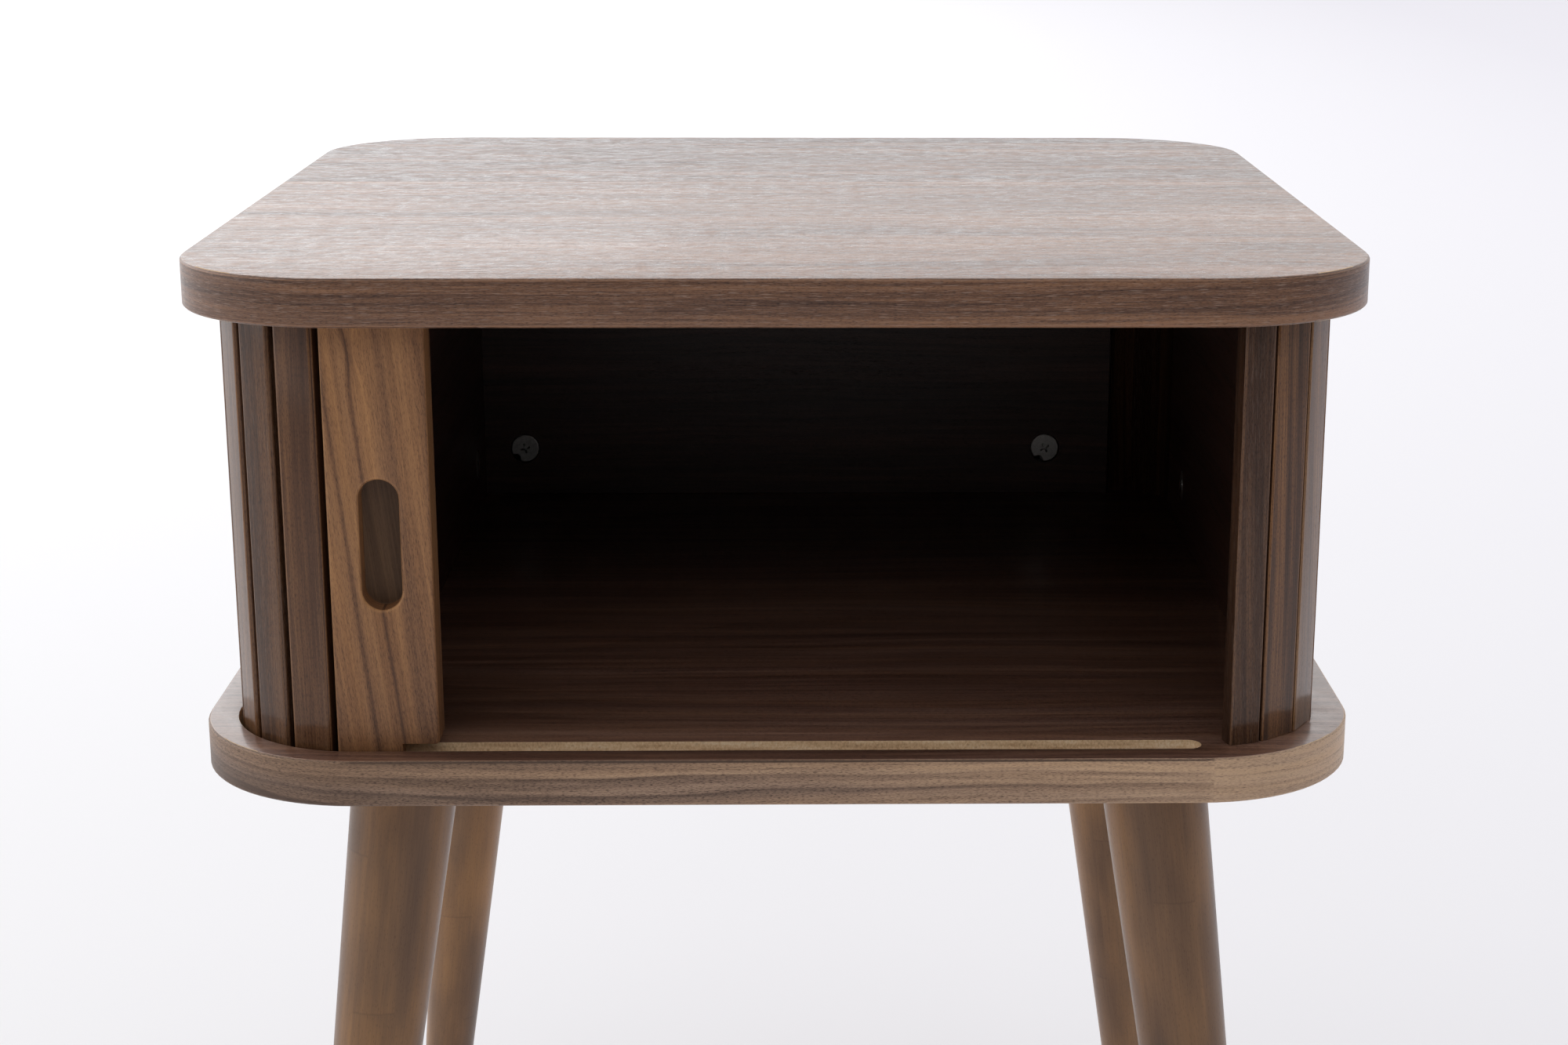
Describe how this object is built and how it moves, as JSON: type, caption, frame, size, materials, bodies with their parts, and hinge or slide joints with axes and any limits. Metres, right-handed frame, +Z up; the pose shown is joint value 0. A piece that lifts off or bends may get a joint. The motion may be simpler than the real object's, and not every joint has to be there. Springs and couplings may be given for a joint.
{
  "type": "bedside table with tambour door",
  "caption": "Square bedside table with round corners, a storage space between two boards closed by a sliding tambour door of upright slats, on splayed tapered legs.",
  "frame": {"origin": "on the floor, under the middle of the table", "axes": "+Z up, -Y to the front where the door is, +X to the right of a person who faces the front"},
  "size_m": [0.45, 0.45, 0.59],
  "materials": {
    "walnut_board": "satin lacquer on walnut veneer",
    "walnut_panel": "satin dark walnut veneer",
    "walnut_slat": "satin lacquer on solid walnut",
    "walnut_lead": "satin lacquer on solid walnut",
    "stained_leg": "walnut stain and satin lacquer",
    "beech": "bare wood",
    "canvas": "raw cotton duck",
    "felt": "pressed felt",
    "zinc": "bare zinc casting",
    "steel": "zinc-plated steel"
  },
  "bodies": {
    "cabinet": {"base_board": "walnut_board", "top_board": "walnut_board", "right_panel": "walnut_panel", "back_panel": "walnut_panel", "left_inner_panel": "walnut_panel", "corner_slats_front_right": "walnut_slat", "corner_slats_back_right": "walnut_slat", "corner_slats_back_left": "walnut_slat", "cam_locks": "zinc", "cam_bolts": "steel", "panel_dowels": "beech", "leg_front_left": "stained_leg", "leg_front_right": "stained_leg", "leg_back_left": "stained_leg", "leg_back_right": "stained_leg", "leg_bolts": "steel", "leg_inserts": "steel", "foot_glides": "felt"},
    "lead": {"lead_slat": "walnut_lead", "canvas_hem": "canvas", "hem_batten": "beech", "hem_screws": "steel"},
    "slat_01": {"curtain_slat_01": "walnut_slat", "canvas_head_1": "canvas"},
    "slat_02": {"curtain_slat_02": "walnut_slat", "canvas_head_2": "canvas"},
    "slat_03": {"curtain_slat_03": "walnut_slat", "canvas_head_3": "canvas"},
    "slat_04": {"curtain_slat_04": "walnut_slat", "canvas_head_4": "canvas"},
    "slat_run": {"curtain_slat_05": "walnut_slat", "curtain_slat_06": "walnut_slat", "curtain_slat_07": "walnut_slat", "curtain_slat_08": "walnut_slat", "curtain_slat_09": "walnut_slat", "curtain_slat_10": "walnut_slat", "curtain_slat_11": "walnut_slat", "curtain_slat_12": "walnut_slat", "curtain_slat_13": "walnut_slat", "curtain_slat_14": "walnut_slat", "curtain_slat_15": "walnut_slat", "curtain_slat_16": "walnut_slat", "curtain_slat_17": "walnut_slat", "curtain_slat_18": "walnut_slat", "canvas_run": "canvas"},
    "slat_19": {"curtain_slat_19": "walnut_slat", "canvas_tail_1": "canvas"},
    "slat_20": {"curtain_slat_20": "walnut_slat", "canvas_tail_2": "canvas"},
    "slat_21": {"curtain_slat_21": "walnut_slat", "canvas_tail_3": "canvas"},
    "slat_22": {"curtain_slat_22": "walnut_slat", "canvas_tail_4": "canvas"},
    "slat_23": {"curtain_slat_23": "walnut_slat", "canvas_tail_5": "canvas"}
  },
  "joints": [
    {"name": "door_slide", "type": "slide", "parent": "cabinet", "child": "lead", "axis": [1, 0, 0], "range_m": [0, 0.29771]},
    {"name": "track_slat_01", "type": "hinge", "parent": "cabinet", "child": "slat_01", "pos_m": [-0.01774, 0.60881, 0.49], "axis": [0, 0, 1], "range_deg": [0, 20.77], "deforming": ["curtain_slat_01", "canvas_head_1"]},
    {"name": "track_slat_02", "type": "hinge", "parent": "cabinet", "child": "slat_02", "pos_m": [-0.02575, 0.2018, 0.49], "axis": [0, 0, 1], "range_deg": [0, 40.41], "deforming": ["curtain_slat_02", "canvas_head_2"]},
    {"name": "track_slat_03", "type": "hinge", "parent": "cabinet", "child": "slat_03", "pos_m": [-0.03438, 0.04861, 0.49], "axis": [0, 0, 1], "range_deg": [0, 61.78], "deforming": ["curtain_slat_03", "canvas_head_3"]},
    {"name": "track_slat_04", "type": "hinge", "parent": "cabinet", "child": "slat_04", "pos_m": [-0.04272, -0.02776, 0.49], "axis": [0, 0, 1], "range_deg": [0, 82.8], "deforming": ["curtain_slat_04", "canvas_head_4"]},
    {"name": "track_slat_run", "type": "hinge", "parent": "cabinet", "child": "slat_run", "pos_m": [-0.0459, -0.0459, 0.49], "axis": [0, 0, 1], "range_deg": [0, 90.02], "deforming": ["curtain_slat_05", "curtain_slat_06", "curtain_slat_07", "curtain_slat_08", "curtain_slat_09", "curtain_slat_10", "curtain_slat_11", "curtain_slat_12", "curtain_slat_13", "curtain_slat_14", "curtain_slat_15", "curtain_slat_16", "curtain_slat_17", "curtain_slat_18", "canvas_run"]},
    {"name": "track_slat_19", "type": "hinge", "parent": "cabinet", "child": "slat_19", "pos_m": [0.00809, -0.0383, 0.49], "axis": [0, 0, 1], "range_deg": [0, 71.54], "deforming": ["curtain_slat_19", "canvas_tail_1"]},
    {"name": "track_slat_20", "type": "hinge", "parent": "cabinet", "child": "slat_20", "pos_m": [0.10872, -0.03012, 0.49], "axis": [0, 0, 1], "range_deg": [0, 51.27], "deforming": ["curtain_slat_20", "canvas_tail_2"]},
    {"name": "track_slat_21", "type": "hinge", "parent": "cabinet", "child": "slat_21", "pos_m": [0.35424, -0.02124, 0.49], "axis": [0, 0, 1], "range_deg": [0, 29.9], "deforming": ["curtain_slat_21", "canvas_tail_3"]},
    {"name": "track_slat_22", "type": "hinge", "parent": "cabinet", "child": "slat_22", "pos_m": [1.77018, -0.0095, 0.49], "axis": [0, 0, 1], "range_deg": [0, 8.64], "deforming": ["curtain_slat_22", "canvas_tail_4"]},
    {"name": "track_slat_23", "type": "slide", "parent": "cabinet", "child": "slat_23", "axis": [0, -1, 0], "range_m": [0, 0.29766], "deforming": ["curtain_slat_23", "canvas_tail_5"]}
  ],
  "couplings": [
    {"joint": "track_slat_01", "follows": "door_slide", "rad_per_m": 1.2162},
    {"joint": "track_slat_02", "follows": "door_slide", "rad_per_m": 2.3676},
    {"joint": "track_slat_03", "follows": "door_slide", "rad_per_m": 3.6205},
    {"joint": "track_slat_04", "follows": "door_slide", "rad_per_m": 4.8532},
    {"joint": "track_slat_run", "follows": "door_slide", "rad_per_m": 5.2762},
    {"joint": "track_slat_19", "follows": "door_slide", "rad_per_m": 4.1927},
    {"joint": "track_slat_20", "follows": "door_slide", "rad_per_m": 3.0046},
    {"joint": "track_slat_21", "follows": "door_slide", "rad_per_m": 1.7517},
    {"joint": "track_slat_22", "follows": "door_slide", "rad_per_m": 0.50536},
    {"joint": "track_slat_23", "follows": "door_slide", "ratio": 0.99977}
  ]
}
